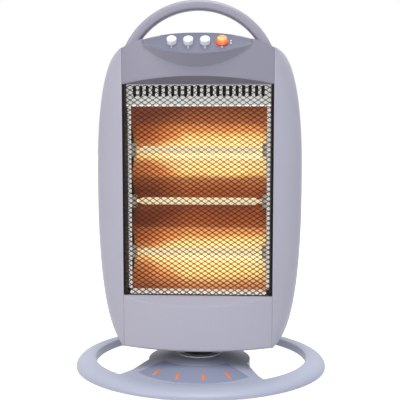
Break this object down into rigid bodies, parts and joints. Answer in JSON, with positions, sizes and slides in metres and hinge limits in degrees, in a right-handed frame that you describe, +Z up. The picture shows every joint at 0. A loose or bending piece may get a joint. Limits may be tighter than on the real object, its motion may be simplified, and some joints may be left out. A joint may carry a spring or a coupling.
{
  "type": "halogen heater",
  "caption": "Free-standing halogen heater with a meshed window, push buttons, a carrying handle and an oval base on which the head swings.",
  "frame": {"origin": "middle of the oval base on the floor; the swivel stands 34 mm in front of it", "axes": "+Z up, -Y towards the front of the head, +X to the right of someone who faces the heater"},
  "size_m": [0.358, 0.324, 0.51],
  "materials": {
    "light_grey_plastic": "satin moulded ABS",
    "panel_grey_plastic": "satin moulded ABS, darker grey",
    "inset_grey_plastic": "satin",
    "handle_grey_plastic": "satin",
    "black_plastic": "matt",
    "rubber": "matt",
    "bright_steel": "bright plated",
    "zinc_steel": "zinc plated",
    "reflector": "polished, lit by the tubes",
    "chrome": "polished",
    "quartz": "clear quartz, glowing",
    "ceramic": "unglazed steatite",
    "white_button": "gloss",
    "orange_button": "gloss, translucent",
    "red_collar": "gloss",
    "mark_orange": "satin"
  },
  "bodies": {
    "base": {"base_moulding": "light_grey_plastic", "base_cover": "black_plastic", "marker_inset": "inset_grey_plastic", "swivel_washer": "chrome", "swivel_post": "zinc_steel", "swivel_nut": "zinc_steel", "drive_arm": "zinc_steel", "tip_switch": "black_plastic", "flame_mark_1": "mark_orange", "flame_mark_2": "mark_orange", "flame_mark_3": "mark_orange", "flame_mark_4": "mark_orange", "rubber_foot_1": "rubber", "rubber_foot_2": "rubber", "rubber_foot_3": "rubber", "rubber_foot_4": "rubber"},
    "head": {"left_side_housing": "light_grey_plastic", "right_side_housing": "light_grey_plastic", "lower_panel": "light_grey_plastic", "rear_cover": "light_grey_plastic", "top_panel": "panel_grey_plastic", "handle": "handle_grey_plastic", "push_switch_1": "black_plastic", "push_switch_2": "black_plastic", "push_switch_3": "black_plastic", "push_switch_4": "black_plastic", "cord_inlet": "black_plastic", "grille": "bright_steel", "vent_plate": "bright_steel", "floor_plate": "zinc_steel", "left_bracket": "zinc_steel", "right_bracket": "zinc_steel", "swing_motor": "zinc_steel", "reflector": "reflector", "halogen_tube_1": "quartz", "halogen_tube_2": "quartz", "halogen_tube_3": "quartz", "tube_holder_1_left": "ceramic", "tube_holder_1_right": "ceramic", "tube_holder_2_left": "ceramic", "tube_holder_2_right": "ceramic", "tube_holder_3_left": "ceramic", "tube_holder_3_right": "ceramic", "terminal_block": "white_button", "swing_button_collar": "red_collar"},
    "crank": {"crank": "zinc_steel"},
    "tip_plunger": {"tip_plunger": "white_button"},
    "heat_button_1": {"heat_button_1": "white_button"},
    "heat_button_2": {"heat_button_2": "white_button"},
    "heat_button_3": {"heat_button_3": "white_button"},
    "swing_button": {"swing_button": "orange_button"}
  },
  "joints": [
    {"name": "head_swing", "type": "hinge", "parent": "base", "child": "head", "pos_m": [0, -0.034, 0.05], "axis": [0, 0, 1], "range_deg": [-40.4, 29.6]},
    {"name": "crank_spin", "type": "hinge", "parent": "head", "child": "crank", "pos_m": [0, -0.058, 0.061], "axis": [0, 0, 1], "range_deg": [-86, 117.3]},
    {"name": "tip_plunger_drop", "type": "slide", "parent": "base", "child": "tip_plunger", "axis": [0, 0, 1], "range_m": [-0.006, 0], "stiffness_N_per_m": 20, "springref_m": -0.006},
    {"name": "heat_button_1_press", "type": "slide", "parent": "head", "child": "heat_button_1", "axis": [0, 0.6557, -0.755], "range_m": [0, 0.004], "stiffness_N_per_m": 200},
    {"name": "heat_button_2_press", "type": "slide", "parent": "head", "child": "heat_button_2", "axis": [0, 0.6557, -0.755], "range_m": [0, 0.004], "stiffness_N_per_m": 200},
    {"name": "heat_button_3_press", "type": "slide", "parent": "head", "child": "heat_button_3", "axis": [0, 0.6557, -0.755], "range_m": [0, 0.004], "stiffness_N_per_m": 200},
    {"name": "swing_button_press", "type": "slide", "parent": "head", "child": "swing_button", "axis": [0, 0.6557, -0.755], "range_m": [0, 0.004], "stiffness_N_per_m": 200}
  ],
  "couplings": [
    {"joint": "crank_spin", "follows": "head_swing", "ratio": -2.9}
  ]
}
